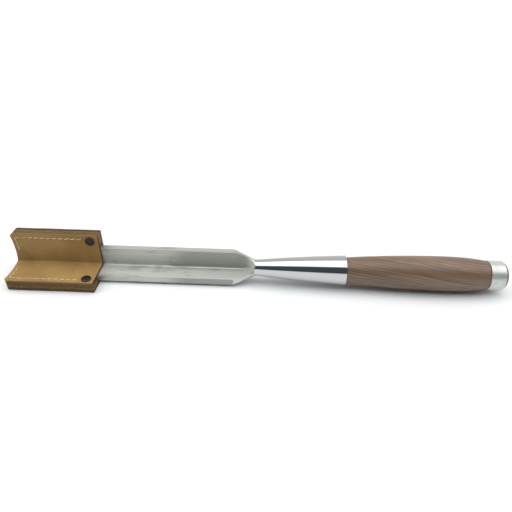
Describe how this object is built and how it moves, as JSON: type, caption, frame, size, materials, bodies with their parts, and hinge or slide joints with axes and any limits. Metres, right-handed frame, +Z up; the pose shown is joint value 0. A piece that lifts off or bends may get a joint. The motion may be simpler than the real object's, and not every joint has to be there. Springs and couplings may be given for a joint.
{
  "type": "corner chisel",
  "caption": "Socket corner chisel with an L-section blade, a turned hooped handle and a stitched and riveted leather edge sheath that pulls off.",
  "frame": {"origin": "under the middle of the whole tool, on the surface it lies on", "axes": "+X along the tool from the cutting edge towards the striking end, +Z up, with the blade's trough open towards +Z and -Y"},
  "size_m": [0.487, 0.0446, 0.0445],
  "materials": {
    "blade_steel": "polished steel, satin and mottled on the blade's flats, bright on the socket",
    "hoop_steel": "polished steel ring",
    "walnut": "turned walnut, oiled to a soft sheen",
    "brown_leather": "brown oiled leather, smooth side out, burnished dark edges",
    "tan_leather": "tan oiled leather with a fine grain and rub marks",
    "welt_leather": "brown leather filler strips with cut edges",
    "black_rivet": "blackened steel rivet caps, slightly glossy",
    "waxed_thread": "cream waxed linen thread"
  },
  "bodies": {
    "chisel": {"blade": "blade_steel", "handle": "walnut", "hoop": "hoop_steel"},
    "sheath": {"sheath_outer_panel": "brown_leather", "sheath_inner_panel": "tan_leather", "floor_welt_outer": "welt_leather", "floor_welt_inner": "welt_leather", "wall_welt_outer": "welt_leather", "wall_welt_inner": "welt_leather", "floor_rivet_cap": "black_rivet", "floor_rivet_base": "black_rivet", "wall_rivet_cap": "black_rivet", "wall_rivet_base": "black_rivet", "floor_thread": "waxed_thread", "wall_thread": "waxed_thread"}
  },
  "joints": [
    {"name": "sheath_slide", "type": "slide", "parent": "chisel", "child": "sheath", "axis": [-1, 0, 0], "range_m": [0, 0.09]}
  ]
}
